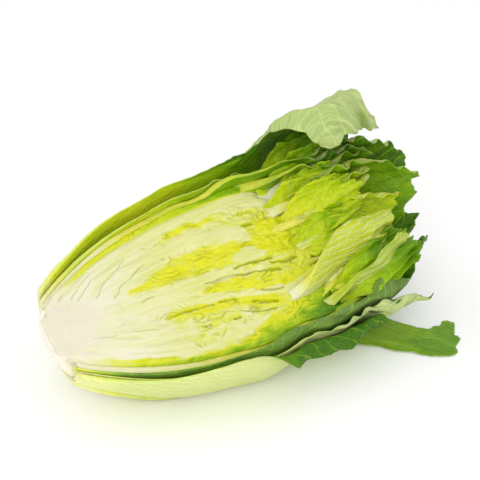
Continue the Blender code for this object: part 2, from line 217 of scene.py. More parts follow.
def shell(x, level):
    """Radius of a shell. Below level 1 it leaves the stem where the stem has narrowed to its level."""
    foot = 1 - np.clip(x / CORE_LENGTH, 0.0, 1.0)
    core = core_radius(x) + GAP
    share = np.clip((level - foot) / np.maximum(1 - foot, 1e-6), 0.0, 1.0)
    inside = core + (envelope(x) - core) * share
    outside = envelope(x) + (level - 1) * OUTER_PITCH * (0.5 + 0.5 * ease(x, -5.0, 60.0))
    return np.where(level <= 1, inside, outside)


def centre_shift(x):
    """How far the axis lies from the middle of the cut face."""
    return -5.0 + 2.0 * ease(x, 90.0, 150.0)


print("radius of the closed head at its belly:", float(envelope(BELLY_X)))


# %% Waves
def shared_wave(x, azimuth, radius):
    """Waves that neighbouring leaves have in common, because they grew pressed together."""
    reach = SHARED_WAVE * ease(x, 45.0, 170.0) * np.minimum(radius / 14.0, 1.0)
    turn = azimuth * 2.6 + radius / 21.0
    along = 2 * np.pi * x / SHARED_LENGTH
    return reach * (np.sin(along + 1.4 * np.sin(turn)) + 0.6 * np.sin(0.57 * along + turn + 1.0))


def own_wave(leaf, x, azimuth, radius, number):
    """A leaf's own shallow waves."""
    reach = leaf.wave * ease(x, 60.0, 200.0) * np.minimum(radius / 14.0, 1.0)
    along = 2 * np.pi * x / OWN_LENGTH
    return reach * np.sin(along + 1.7 * number) * np.sin(3.1 * azimuth + 0.9 * number)


LATTICE = np.random.default_rng(11).uniform(-1.0, 1.0, (97, 89))


def uneven(u, v, number=0):
    """Smooth unevenness from -1 to 1 that changes over about one unit of u and of v."""
    u, v = u + 7.3 * number, v + 3.9 * number
    i, j = np.floor(u).astype(int), np.floor(v).astype(int)
    s, t = u - i, v - j
    s, t = s * s * (3 - 2 * s), t * t * (3 - 2 * t)
    a = LATTICE[i % 97, j % 89] * (1 - s) + LATTICE[(i + 1) % 97, j % 89] * s
    b = LATTICE[i % 97, (j + 1) % 89] * (1 - s) + LATTICE[(i + 1) % 97, (j + 1) % 89] * s
    return a * (1 - t) + b * t


def layered(x, y, number, layers):
    """Unevenness of several sizes together. A layer holds its height, length, width and pattern."""
    return sum(height * uneven(x / length, y / width, number + pattern)
               for height, length, width, pattern in layers)


print("unevenness from", round(float(LATTICE.min()), 2), "to", round(float(LATTICE.max()), 2))


# %% [markdown]
# ## The outline of a leaf
# A leaf's grid has rows from one edge to the other and columns from the foot to the tip. The outline turns
# each grid point into a place on the shell. It holds what makes a cos leaf: a narrow foot, a broad blade and
# a margin that waves and has small blunt teeth. The teeth are finer than the model's solids show.

# %% Outline
FACE_ENDS, FACE_FADES = 165.0, 15.0  # where along the head the crumpled face goes over into free blades
EDGE_DEPTH, LEAST_RADIUS = 2.2, 6.0
TOOTH, SMALL_TOOTH = 17.0, 45.0  # how many teeth a leaf's tip has across it


def under_face(leaf, x):
    """By how many degrees a cut edge stays under the crumpled face that lies over it."""
    turn = np.degrees(EDGE_DEPTH / np.maximum(shell(x, leaf.level), LEAST_RADIUS))
    return turn * (1 - ease(x, FACE_ENDS - FACE_FADES, FACE_ENDS + FACE_FADES))


def outline(leaf, row, along, number):
    """Where a leaf's points lie along the head and round it, for row and along from 0 to 1."""
    foot_x = np.maximum(CORE_LENGTH * (1 - leaf.level), 0.0) + 1.5
    across = row
    if leaf.fold:
        rough_x = foot_x + (leaf.tip - foot_x) * along
        grown = ease(rough_x, leaf.fold_x, leaf.fold_full_x)
        line = 1 - (1 - leaf.fold_at) * (LEAST_FOLD + (1 - LEAST_FOLD) * grown)
        before = row / FOLD_ROW * line
        after = line + np.maximum((row - FOLD_ROW) / (1 - FOLD_ROW), 0.0) ** FLAP_CROWDING * (1 - line)
        across = np.where(row < FOLD_ROW, before, after)
    middle = 0.15 if leaf.cut == "start" else 0.85 if leaf.cut == "end" else 0.5
    off = np.abs(across - middle) / max(middle, 1 - middle)
    ragged = leaf.edge_wave * np.sin(across * 19.0 + 2.3 * number)
    ragged = 0.5 * ragged + 1.1 * uneven(across * TOOTH, 0 * across, number)
    ragged = ragged + 0.9 * uneven(across * SMALL_TOOTH, 5 + 0 * across, number)
    ragged = ragged * ease(along, 0.6, 1.0)
    notch = leaf.notch * np.exp(-(((across - leaf.fold_at) / 0.13) ** 2))
    tip = leaf.tip * (1 - leaf.point * off**2.4) + leaf.skew * (2 * across - 1) - notch
    x = foot_x + (tip - foot_x) * along + ragged
    changed = ease(x, leaf.change_x, leaf.change_x + 60.0)
    width = leaf.narrow + (1 - leaf.narrow) * ease(along, 0.0, 0.5)
    width = width + (leaf.tip_width - 1) * changed
    rise = leaf.rise * ease(x, leaf.rise_x, leaf.rise_x + 60.0)
    span = leaf.end - leaf.start
    toothed = 1.3 * uneven(x / 4.5, 9 + 0 * x, number) + 0.8 * uneven(x / 2.0, 17 + 0 * x, number)
    if leaf.cut == "start":
        toothed = toothed * ease(x, 165.0, 225.0) * (1 - ease(across, 0.0, 0.2))
        azimuth = leaf.start - rise * (1 - across) ** 2 + span * across * width + toothed
        azimuth = azimuth + under_face(leaf, x) * (1 - across) ** 4
    elif leaf.cut == "end":
        toothed = toothed * ease(x, 165.0, 225.0) * ease(across, 0.8, 1.0)
        azimuth = leaf.end + rise * across**2 - span * (1 - across) * width + toothed
        azimuth = azimuth - under_face(leaf, x) * across**4
    else:
        azimuth = (leaf.start + leaf.end) / 2 + leaf.lean * changed + span * (across - 0.5) * width
        sides = ease(across, 0.85, 1.0) - ease(across, 0.15, 0.0)
        azimuth = azimuth + toothed * ease(x, 110.0, 200.0) * sides
    return x, np.radians(azimuth), across


print("a leaf's outline comes from", outline.__code__.co_argcount, "values")


# %% [markdown]
# ## How thick a leaf is
# Real lettuce tissue is thin, but behind the knife it is crumpled and packed so tightly that the cut face
# looks almost solid. One sheet per leaf, thickened towards the knife until it nearly meets the next one,
# gives that look. Where the unevenness is low a slot stays open, and the light falls into it as in the real
# head. A thousand separate crumples would be closer to nature and far too heavy.

# %% Thickness
LEAST_ROOM, BESIDE_DEG, FADE_DEG, ROOM_BESIDE = 0.14, 10.0, 12.0, 0.5
PACKED_REACH, MOST_FILLED, SLOT_SHARE = 12.0, 0.97, 0.38
FOOT_WALL, OUTER_FOOT_WALL = 1.6, 4.0


def flare_share(leaf, row):
    """How much of the flare a row takes: none where leaves of both sides meet at the back of the head."""
    if leaf.cut == "start":
        return 1 - ease(row, 0.15, 0.45)
    if leaf.cut == "end":
        return ease(row, 0.55, 0.85)
    return leaf.flare_even + (1 - leaf.flare_even) * row


def room(leaf, azimuth):
    """How many levels are free outside a leaf at an azimuth, in radians."""
    degrees = np.degrees(azimuth)
    free = LEAST_ROOM + 0.0 * degrees
    for other in LEAVES:
        if other.level > leaf.level:
            low = min(other.start, other.end) - BESIDE_DEG - (other.rise if other.cut == "start" else 0)
            high = max(other.start, other.end) + BESIDE_DEG + (other.rise if other.cut == "end" else 0)
            inside = ease(degrees, low - FADE_DEG, low) * (1 - ease(degrees, high, high + FADE_DEG))
            free = np.minimum(free, other.level - leaf.level + ROOM_BESIDE * (1 - inside))
    return free


def rib_share(leaf, azimuth, radius, along):
    """1 on the midrib, 0 away from it."""
    from_rib = (azimuth - np.radians(leaf.rib_at)) * radius
    return np.exp(-((from_rib / leaf.rib_width) ** 2)) * (1 - ease(along, 0.45, 0.9))


def thickness(leaf, x, azimuth, radius, along, number):
    """Blade, midrib, and the crumpled tissue packed behind a cut edge, up to the next leaf."""
    free = shell(x, leaf.level + room(leaf, azimuth)) - shell(x, leaf.level)
    rib = leaf.rib * rib_share(leaf, azimuth, radius, along)
    edge = FAR if leaf.cut == "start" else NEAR
    from_cut = (azimuth - np.radians(edge)) * radius
    slot = ease(uneven(x / 26.0, 0 * x + leaf.level * 9, number), 0.1, 0.75)
    filled = MOST_FILLED - SLOT_SHARE * slot * ease(x, 50.0, 110.0)
    packed = filled * free * np.exp(-((from_cut / PACKED_REACH) ** 2)) * (1 - ease(along, 0.62, 0.92))
    foot = FOOT_WALL * (1 - ease(x, 20.0, 90.0))
    foot = foot + (leaf.level > 1) * OUTER_FOOT_WALL * (1 - ease(x, 4.0, 30.0))
    wanted = BLADE + np.maximum(rib, packed if leaf.cut else 0.0) + foot
    most = 0.98 * free if leaf.cut else (0.7 + 0.28 * (1 - ease(x, 8.0, 30.0))) * (free - GAP)
    return np.maximum(np.minimum(wanted, most), LEAST_WALL)


print("room outside the first leaf:", room(LEAVES[0], np.radians(45.0)))


# %% [markdown]
# ## Folding and setting down
# A margin that turns over is made by turning each step across the leaf a little further than the one before,
# as paper rolls off a pencil. Then the head is tilted, and what would sink into the table is pressed flat on
# it. The press is soft, so that the leaves flatten like leaves and not like clay under a board.

# %% Fold and set down
def turned(across, angle):
    """Steps across the head, as y and z in the last axis, turned by an angle in radians."""
    y, z = across[..., 0], across[..., 1]
    return np.stack([np.cos(angle) * y - np.sin(angle) * z, np.sin(angle) * y + np.cos(angle) * z], axis=-1)


def turned_over(leaf, x, inner, outer, row):
    """Turns a margin over, with its walls."""
    steps = np.diff(inner[..., 1:], axis=0)
    beyond = np.where(row[1:] > FOLD_ROW + 1e-6, np.hypot(steps[..., 0], steps[..., 1]), 0.0)
    length = np.cumsum(beyond, axis=0)
    full = leaf.fold_radius * np.abs(np.radians(leaf.fold))
    most = np.radians(leaf.fold) * ease(x[1:], leaf.fold_x, leaf.fold_x + leaf.fold_opening)
    steps = turned(steps, most * np.clip((length - beyond / 2) / full, 0.0, 1.0))
    walls = outer - inner
    walls[1:, :, 1:] = turned(walls[1:, :, 1:], most * np.clip(length / full, 0.0, 1.0))
    inner = inner.copy()
    inner[1:, :, 1:] = inner[:1, :, 1:] + np.cumsum(steps, axis=0)
    inner[..., 2] = np.maximum(inner[..., 2], LEAST_WALL)
    outer = inner + walls
    outer[..., 2] = np.maximum(outer[..., 2], 0.0)
    return inner, outer


def to_world(points):
    """From the head's frame to the world's, in millimetres."""
    tilt, pitch = np.radians(TILT_DEG), np.radians(PITCH_DEG)
    x, y, z = np.moveaxis(points, -1, 0)
    across, up = np.cos(tilt) * y - np.sin(tilt) * z, np.sin(tilt) * y + np.cos(tilt) * z
    forward = np.cos(pitch) * x - np.sin(pitch) * up
    height = np.sin(pitch) * x + np.cos(pitch) * up + AXIS_HEIGHT
    return np.stack([forward - CENTRE_SHIFT_X, across - CENTRE_SHIFT_Y, height], axis=-1)


def set_down(points, level, droop, least):
    """To the world's frame, with what would sink into the ground pressed flat on it."""
    placed = to_world(points)
    floor = (OUTERMOST - level) * FLOOR_PITCH - 0.3 + least
    height = floor + FLOOR_SOFTNESS * np.logaddexp(0.0, (placed[..., 2] - droop - floor) / FLOOR_SOFTNESS)
    placed[..., 2] = np.maximum(height, least)
    return placed


print("the axis at the butt is at", to_world(np.zeros(3)).round(1))


# %% [markdown]
# ## One leaf as two sheets
# Each leaf is one closed body: an inner sheet, an outer sheet and a rim between them. The rim is divided
# across its thickness, because on a cut leaf it is the very surface that the knife left. Small ridges and
# hollows are pushed into it there. The values that a finish needs, such as how green or how ribbed a point
# is, are kept on the points as attributes, so that they can follow the leaf wherever it bends.

# %% Sheets of a leaf
ACROSS, ALONG, RIM = ((66, 98, 5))
KNIFE_CROWDING, TIP_CROWDING = 1.5, 0.9  # how much closer grid lines lie at the knife's edge and at the tip
PUCKERS = [(1.0, 8.0, 8.0, 0), (0.5, 3.6, 3.6, 5)]
RUFFLE_LENGTH = 15.0


def grid_of(leaf):
    """Rows and columns of a leaf's grid, closer together towards the edge that the knife made."""
    rows, columns = np.linspace(0, 1, ACROSS + 1), np.linspace(0, 1, ALONG + 1)
    if leaf.cut == "start":
        rows = rows**KNIFE_CROWDING
    elif leaf.cut == "end":
        rows = 1 - (1 - rows) ** KNIFE_CROWDING
    return np.meshgrid(rows, columns**TIP_CROWDING, indexing="ij")


def margin_share(leaf, across, along, x):
    """1 on a margin that the knife didn't touch, falling to 0 well inside the leaf."""
    tip = ease(along, 0.8, 1.0)
    near_start, near_end = 1 - ease(across, 0.0, 0.14), ease(across, 0.86, 1.0)
    free = ease(x, 110.0, 190.0)
    start = near_start * (ease(x, 170.0, 225.0) if leaf.cut == "start" else free)
    end = near_end * (ease(x, 170.0, 225.0) if leaf.cut == "end" else free)
    return np.maximum(tip, np.maximum(start, end))


def leaf_sheets(leaf, number):
    """The two sheets of a leaf in the world's frame, and the values that its finish is made from."""
    row, along = grid_of(leaf)
    x, azimuth, across = outline(leaf, row, along, number)
    radius = shell(x, leaf.level)
    wall = thickness(leaf, x, azimuth, radius, along, number)
    arc = azimuth * radius
    margin = margin_share(leaf, across, along, x)
    rib = rib_share(leaf, azimuth, radius, along) * (leaf.rib > 0)
    puckers = layered(arc, x, number, PUCKERS)
    ruffles = np.sin(2 * np.pi * (arc + 0.8 * x) / RUFFLE_LENGTH + 3.0 * uneven(arc / 20.0, x / 20.0, number))
    depth = np.minimum(radius / 14.0, 1.0)
    waves = shared_wave(x, azimuth, radius) + own_wave(leaf, x, azimuth, radius, number)
    waves = waves + depth * (0.42 + 0.75 * margin) * puckers * ease(x, 50.0, 120.0) * (1 - 0.8 * rib)
    waves = waves + depth * leaf.ruffle * margin * ruffles
    radius = radius + waves
    radius = radius + leaf.flare * ease(x, leaf.flare_x, leaf.flare_x + 88.0) * flare_share(leaf, row)
    radius = radius * (1 - leaf.hood * ease(x, leaf.tip - 45.0, leaf.tip + 5.0))
    droop = leaf.droop * ease(x, 190.0, leaf.tip)
    level = OUTERMOST if leaf.grounded else leaf.level
    sheets = []
    for reach, least in ((radius, LEAST_WALL), (radius + wall, 0.0)):
        points = [x, centre_shift(x) + reach * np.cos(azimuth), -reach * np.sin(azimuth)]
        sheets.append(set_down(np.stack(points, axis=-1), level, droop, least))
    if leaf.fold:
        sheets = turned_over(leaf, x, *sheets, row)
    from_rib = arc - np.radians(leaf.rib_at) * shell(x, leaf.level)
    if leaf.level > 1:
        greens = leaf.foot_green + (leaf.green - leaf.foot_green) * ease(x, 80.0, 215.0)
        greens = greens * ease(x, -15.0, 30.0)
    else:
        greens = leaf.green * (0.25 + 0.75 * ease(x, 5.0, 215.0)) * ease(x, -25.0, 70.0)
    if leaf.fold > 0:
        greens = greens + 0.2 * ease(row, FOLD_ROW - 0.05, FOLD_ROW + 0.1) * ease(x, 80.0, 140.0)
    greens = greens + 0.08 * margin * ease(x, 60.0, 160.0) + 0.05 * uneven(arc / 14.0, x / 14.0, number)
    return sheets, dict(wall=wall, from_rib=from_rib, x=x, rib=rib, green=greens)


print("each sheet has", (ACROSS + 1) * (ALONG + 1), "points")

# %% [markdown]
# ## From grids to a mesh
# The two grids become one list of points, and a loop round both edges becomes the rim. Building the arrays
# with numpy and handing them to Blender in one go is much quicker than adding faces one by one, which
# matters with twenty-two leaves of tens of thousands of faces each.


# %% Mesh of a leaf
LEAF_APART = 40.0  # sets the patterns of the leaves apart from each other
KNIFE_RIDGES = [(1.0, 9.0, 1.3, 0), (0.6, 3.5, 0.9, 3)]


def grid_quads(size_a, size_b):
    """Point numbers of a grid, and its four-sided faces."""
    index = np.arange(size_a * size_b).reshape(size_a, size_b)
    corners = [index[:-1, :-1], index[1:, :-1], index[1:, 1:], index[:-1, 1:]]
    return index, np.stack(corners, axis=-1).reshape(-1, 4)


def keep_values(mesh, place, layers):
    """Writes the values that a finish is made from on the points of a mesh."""
    mesh.attributes.new("leaf_place", "FLOAT_VECTOR", "POINT").data.foreach_set("vector", place.ravel())
    for name, layer in layers.items():
        values = layer.astype(np.float32)
        mesh.attributes.new(name, "FLOAT", "POINT").data.foreach_set("value", values)
    mesh.shade_smooth()
    return mesh


def edge_loop(size_a, size_b):
    """Grid places round the edge of a grid, as two lists."""
    i = list(range(size_a)) + [size_a - 1] * (size_b - 1) + list(range(size_a - 2, -1, -1)) + [0] * (size_b - 2)
    j = [0] * size_a + list(range(1, size_b)) + [size_b - 1] * (size_a - 1) + list(range(size_b - 2, 0, -1))
    return np.array(i), np.array(j)


def rim_points(leaf, sheets, values, number):
    """The rim between the two sheets: rounded on a margin, and uneven where the knife went."""
    inner, outer = sheets
    i, j = edge_loop(*inner.shape[:2])
    inside_i = np.clip(i, 1, inner.shape[0] - 2)
    inside_j = np.clip(j, 1, inner.shape[1] - 2)
    away = (inner[i, j] + outer[i, j] - inner[inside_i, inside_j] - outer[inside_i, inside_j]) / 2
    away = away / np.maximum(np.linalg.norm(away, axis=-1, keepdims=True), 1e-6)
    cut_row = {"start": 0, "end": inner.shape[0] - 1}.get(leaf.cut, -1)
    knife = (i == cut_row) * (1 - ease(values["x"][i, j], 175.0, 225.0))
    wall, x = values["wall"][i, j], values["x"][i, j]
    rib = values["rib"][i, j]
    points, shares = [], []
    for k in range(1, RIM):
        share = k / RIM
        deep = share * wall
        ridges = layered(x, deep, number, KNIFE_RIDGES)
        bulge = 0.9 * ridges * (1 - 0.75 * rib) * np.sin(np.pi * share) ** 0.5 * ease(x, 20.0, 80.0)
        rounded = 0.4 * np.minimum(wall, 2.0) * np.sin(np.pi * share)
        reach = np.where(knife > 0.5, np.clip(bulge, -1.2, 0.9), rounded)
        points.append(inner[i, j] * (1 - share) + outer[i, j] * share + reach[:, None] * away)
        shares.append(np.full(len(i), share))
    return points, shares, knife, i, j


def leaf_mesh(leaf, number, sheets, values):
    """A closed leaf as a Blender mesh in metres, with its finish values on its points."""
    size_a, size_b = values["x"].shape
    rim, shares, knife, i, j = rim_points(leaf, sheets, values, number)
    count = size_a * size_b
    index, quads = grid_quads(size_a, size_b)
    loops = [index[i, j]] + [2 * count + k * len(i) + np.arange(len(i)) for k in range(len(rim))]
    loops.append(count + index[i, j])
    faces = [quads[:, ::-1], quads + count]
    for near, far in zip(loops, loops[1:]):
        faces.append(np.stack([near, np.roll(near, -1), np.roll(far, -1), far], axis=-1))
    points = np.concatenate([sheets[0].reshape(-1, 3), sheets[1].reshape(-1, 3), *rim])
    mesh = bpy.data.meshes.new(leaf.name)
    mesh.from_pydata((points * MM).tolist(), [], np.concatenate(faces).tolist())

    def spread(name):
        flat = values[name].reshape(-1)
        return np.concatenate([flat, flat] + [values[name][i, j]] * len(shares))

    deep = np.concatenate([np.zeros(count), values["wall"].reshape(-1)]
                          + [values["wall"][i, j] * s for s in shares])
    place = np.stack([spread("from_rib"), spread("x"), deep + LEAF_APART * number], axis=-1)
    cut = np.concatenate([np.zeros(2 * count), *([knife] * len(rim))])
    for loop in (loops[0], loops[-1]):
        cut[loop] = knife
    under = np.concatenate([np.zeros(count), np.ones(count), *shares]) * leaf.pale
    return keep_values(mesh, place, dict(green=spread("green"), rib=spread("rib"), cut=cut, underside=under))


print("a leaf's rim is divided into", RIM, "across its thickness")

# %% [markdown]
# ## The finishes
# A leaf's colour comes from how much light it had: cream at the foot, then yellow, and green towards the
# margin. Its midrib and side veins stay pale. Instead of painting a picture, the shader works that out from
# the values on the points, so it stays sharp at any distance. A small class lets such sums be written as
# ordinary arithmetic.


# %% Arithmetic on shader sockets
class Link:
    """One output of a shader node. Arithmetic on it adds the Math nodes that work it out."""

    def __init__(self, recipe, socket):
        self.recipe, self.socket = recipe, socket

    def maths(self, operation, other=0.0, swapped=False):
        pair = (other, self) if swapped else (self, other)
        made = self.recipe.node("ShaderNodeMath", {"operation": operation}, {0: pair[0], 1: pair[1]})
        return self.recipe.out(made)

    def __add__(self, other):
        return self.maths("ADD", other)

    def __sub__(self, other):
        return self.maths("SUBTRACT", other)

    def __rsub__(self, other):
        return self.maths("SUBTRACT", other, swapped=True)

    def __mul__(self, other):
        return self.maths("MULTIPLY", other)

    def __truediv__(self, other):
        return self.maths("DIVIDE", other)

    def __rtruediv__(self, other):
        return self.maths("DIVIDE", other, swapped=True)

    __radd__, __rmul__ = __add__, __mul__

    def between(self, low, high):
        """0 at low, 1 at high, smooth between them. high may be the smaller one."""
        made = self.recipe.node("ShaderNodeMapRange", {"interpolation_type": "SMOOTHSTEP"},
                                {"Value": self, "From Min": low, "From Max": high})
        return self.recipe.out(made)


class Recipe:
    """The nodes of one material."""

    def __init__(self, name):
        self.material = bpy.data.materials.new(name)
        self.material.use_nodes = True
        self.tree = self.material.node_tree
        self.shader = self.tree.nodes["Principled BSDF"]

    def node(self, kind, settings=(), sockets=()):
        """Adds a node of any kind: its settings first, then the values or links of its sockets."""
        made = self.tree.nodes.new(kind)
        for key, value in dict(settings).items():
            if key == "stops":
                self.set_stops(made.color_ramp, value)
            else:
                setattr(made, key, value)
        self.feed(made, sockets)
        return made

    def feed(self, node, sockets):
        for key, value in dict(sockets).items():
            if isinstance(value, Link):
                self.tree.links.new(value.socket, node.inputs[key])
            else:
                node.inputs[key].default_value = value

    def set_stops(self, ramp, stops):
        while len(ramp.elements) < len(stops):
            ramp.elements.new(0.5)
        for element, (place, colour) in zip(ramp.elements, stops):
            element.position, element.color = place, colour

    def out(self, node, name=0):
        return Link(self, node.outputs[name])

    def value_on(self, name, output="Fac"):
        """A value that the mesh carries on its points."""
        return self.out(self.node("ShaderNodeAttribute", {"attribute_name": name}), output)

    def mixed(self, factor, first, second):
        """Two colours mixed."""
        made = self.node("ShaderNodeMix", {"data_type": "RGBA"}, {0: factor, 6: first, 7: second})
        return self.out(made, 2)

    def scaled(self, vector, scale):
        made = self.node("ShaderNodeVectorMath", {"operation": "MULTIPLY"}, {0: vector, 1: scale})
        return self.out(made)

    def noise(self, vector, scale, **sockets):
        """Soft unevenness from 0 to 1. scale says how often it changes in each direction."""
        place = self.scaled(vector, scale)
        return self.out(self.node("ShaderNodeTexNoise", (), {"Vector": place, "Scale": 1.0, **sockets}))

    def cells(self, vector, scale):
        """The distance to the edges of a net of cells."""
        return self.out(self.node("ShaderNodeTexVoronoi", {"feature": "DISTANCE_TO_EDGE"},
                                  {"Vector": self.scaled(vector, scale), "Scale": 1.0}))

    def ramp(self, value, stops):
        return self.out(self.node("ShaderNodeValToRGB", {"stops": stops}, {"Fac": value}))

    def finish(self, colour, height, strength, distance, sockets):
        """Colour, relief and the rest of a moist, slightly see-through surface."""
        bump = self.node("ShaderNodeBump", (), {"Strength": strength, "Distance": distance, "Height": height})
        self.feed(self.shader, {"Base Color": colour, "Normal": self.out(bump, "Normal"),
                                "Subsurface Scale": GLOW_DEPTH, **sockets})
        return self.material


GLOW_DEPTH = 0.004  # how far light spreads in the tissue, in metres


def tone(red, green, blue):
    """A colour from its screen values of 0 to 255, as the light values that Blender works in."""
    parts = [v / 255 for v in (red, green, blue)]
    return tuple(v / 12.92 if v <= 0.04045 else ((v + 0.055) / 1.055) ** 2.4 for v in parts) + (1.0,)


CREAM, PALE, YELLOW = tone(232, 228, 198), tone(222, 224, 128), tone(218, 220, 30)
LIME, MID_GREEN, GREEN, DARK = tone(190, 214, 10), tone(150, 188, 2), tone(98, 148, 2), tone(58, 106, 2)
PALE_VEIN, GREEN_VEIN, UNDER_VEIN = tone(226, 230, 140), tone(160, 190, 40), tone(222, 230, 152)
print("cream in light values:", [round(v, 2) for v in CREAM])


# %% [markdown]
# ## A leaf's finish
# Four things are laid over each other. The greens run from the foot to the margin. Side veins leave the
# midrib at a slant, and between them lies a net of fine ones, which also puckers the surface. The underside
# is paler and greyer. Where the knife went, the tissue shows as lengthwise streaks of cream and yellow, and
# a cut midrib is white and fibrous.

# %% Finish of a leaf
def leaf_material(name, vein_spacing, vein_strength, under_pale, under_green, under_veins, pucker, roughness):
    r = Recipe(name)
    place = r.value_on("leaf_place", "Vector")
    split = r.node("ShaderNodeSeparateXYZ", (), {0: place})
    across, along = r.out(split, 0), r.out(split, 1)
    green, rib, cut = r.value_on("green"), r.value_on("rib"), r.value_on("cut")
    underside = r.value_on("underside")
    drift = r.noise(place, (0.05, 0.05, 0.05), Detail=3.0)
    blotch = r.noise(place, (0.16, 0.1, 0.1), Detail=4.0)
    greens = green + (blotch - 0.5) * 0.22
    blade = r.ramp(greens, [(0.0, CREAM), (0.2, PALE), (0.38, YELLOW), (0.54, LIME), (0.7, MID_GREEN),
                            (0.85, GREEN), (1.0, DARK)])
    # Side veins: lines that climb away from the midrib on both sides
    slant = across.maths("ABSOLUTE")
    phase = (along - slant * 1.25 + (drift - 0.5) * 26.0) / vein_spacing
    from_line = (phase.maths("FRACT") - 0.5).maths("ABSOLUTE")
    side_vein = from_line.between(0.09, 0.015)
    net = r.cells(place, (0.22, 0.15, 0.05))
    lengthwise = r.noise(place, (0.55, 0.016, 0.3), Detail=3.0, Roughness=0.6)
    fine = r.cells(place, (0.7, 0.5, 0.1))
    veins = (side_vein + net.between(0.07, 0.0) * 0.35) * vein_strength
    blade = r.mixed(veins * 0.6, blade, r.mixed(green.between(0.3, 1.0), PALE_VEIN, GREEN_VEIN))
    # The underside, which is paler and greyer
    under = r.mixed(green.between(0.4, 1.15), under_pale, under_green)
    fan = ((across + (drift - 0.5) * 9.0) / (vein_spacing * 0.45)).maths("FRACT") - 0.5
    fan_vein = fan.maths("ABSOLUTE").between(0.2, 0.03)
    under = r.mixed(lengthwise.between(0.45, 0.6) * 0.35, under, UNDER_VEIN)
    under = r.mixed(fan_vein * under_veins, under, tone(228, 234, 164))
    under = r.mixed(side_vein * 0.35, under, UNDER_VEIN)
    blade = r.mixed(underside * green.between(0.02, 0.2) * 0.93, blade, r.mixed(veins * 0.15, under, PALE))
    # The midrib, with fibres along it
    fibre = r.noise(place, (0.9, 0.02, 0.9), Detail=3.0)
    rib_colour = r.mixed(fibre.between(0.35, 0.7), tone(232, 230, 196), tone(216, 219, 160))
    blade = r.mixed(rib.between(0.25, 0.85) * (1 - green.between(0.75, 1.1) * 0.6), blade, rib_colour)
    # Tissue that the knife opened
    streak = r.noise(place, (0.0, 0.09, 0.62), Detail=5.0, Distortion=0.8)
    tissue = r.ramp(greens * 0.95 + (streak - 0.5) * 0.5, [
        (0.0, CREAM), (0.22, tone(236, 231, 176)), (0.42, tone(228, 222, 100)), (0.6, tone(212, 214, 72)),
        (0.8, tone(160, 186, 40)), (1.0, tone(90, 130, 24))])
    tissue = r.mixed(streak.between(0.62, 0.78) * 0.4, tissue, tone(244, 240, 206))
    tissue = r.mixed(rib.between(0.2, 0.7), tissue, rib_colour)
    colour = r.mixed(cut.between(0.3, 0.7), blade, tissue)
    height = (1 - underside) * (side_vein * 0.35 - net.between(0.35, 0.0) * 0.3)
    height = height + underside * (lengthwise * 1.3 + fan_vein * 0.5)
    height = height + fine.between(0.0, 0.2) * 0.2
    height = height * (1 - rib.between(0.2, 0.8)) * (1 - cut) + fibre * rib * 0.4 + streak * cut * 0.8
    return r.finish(colour, height, strength=pucker, distance=0.0011, sockets={
        "Roughness": roughness + cut * 0.1 + (blotch - 0.5) * 0.15, "Specular IOR Level": 0.22,
        "Subsurface Weight": 0.18, "Subsurface Radius": (0.9, 1.0, 0.3)})


LEAF_FINISHES = {
    "heart_leaf": dict(vein_spacing=8.0, vein_strength=0.5, under_pale=tone(196, 203, 36),
                       under_green=tone(152, 182, 8), under_veins=0.42, pucker=0.8, roughness=0.42),
    "inner_leaf": dict(vein_spacing=9.0, vein_strength=0.5, under_pale=tone(204, 212, 84),
                       under_green=tone(146, 178, 30), under_veins=0.45, pucker=0.85, roughness=0.4),
    "outer_leaf": dict(vein_spacing=11.0, vein_strength=0.6, under_pale=tone(234, 239, 158),
                       under_green=tone(170, 192, 116), under_veins=0.3, pucker=0.85, roughness=0.42),
}
finishes = {slot: leaf_material(slot + "_finish", **recipe) for slot, recipe in LEAF_FINISHES.items()}
print("finishes:", ", ".join(finishes))


# %% [markdown]
# ## Putting the leaves in place
# Each leaf is named after its node, stands for that node, rides on the one body that the head has, and takes
# one of the finishes, chosen by how deep in the head the leaf lies.

# %% Leaves in place
def slot_of(leaf):
    """The finish's slot name, chosen by how deep in the head the leaf lies."""
    if leaf.level > 0.9:
        return "outer_leaf"
    if leaf.level > 0.7 or leaf.name == "far_leaf_4":
        return "inner_leaf"
    return "heart_leaf"


def put(name, mesh, slot, material, node):
    """A new piece in the scene that stands for one node."""
    piece = bpy.data.objects.new(name, mesh)
    bpy.context.scene.collection.objects.link(piece)
    mesh.materials.append(material)
    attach(piece, "root")
    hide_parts(node)
    return piece


for number, leaf in enumerate(LEAVES):
    slot = slot_of(leaf)
    mesh = leaf_mesh(leaf, number, *leaf_sheets(leaf, number))
    made = put(leaf.name + "_ruffled", mesh, slot, finishes[slot], leaf.name)
    print(made.name, len(made.data.polygons), "faces, slot", slot)


# %% [markdown]
# ## Blades folded over at the tips
# Towards the tips the blades are wider than the room they have, so they fold over each other, and broad
# crinkled lobes of them face up. Bending the whole leaves that far would push them through each other. A
# lobe of its own for each fold, rooted between the leaves and ending in a frilled margin, is simple to place
# and looks the same from every side.


# %% A folded lobe
@dataclass
class Lobe:
    """A lobe in the head's frame. base and tip are in millimetres, half_width is at its widest."""

    name: str
    base: tuple
    tip: tuple
    half_width: float
    greens: tuple  # at the base and at the tip
    node: str
    slot: str = "inner_leaf"
    cup: float = 0.25
    arch: float = 4.0
    curl: float = 6.0
    ruffle: float = 3.0
    faces: tuple = (0.0, -0.45, 1.0)
    cut: str = ""
    pale: float = 1.0


LOBE_GRID = ((60, 68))
LOBE_CRUMPLES = [(1.9, 11.0, 7.0, 2), (1.1, 4.8, 4.2, 4), (0.5, 2.4, 2.4, 6)]
FRILL_LENGTH, FINE_FRILL_LENGTH = 15.0, 6.5


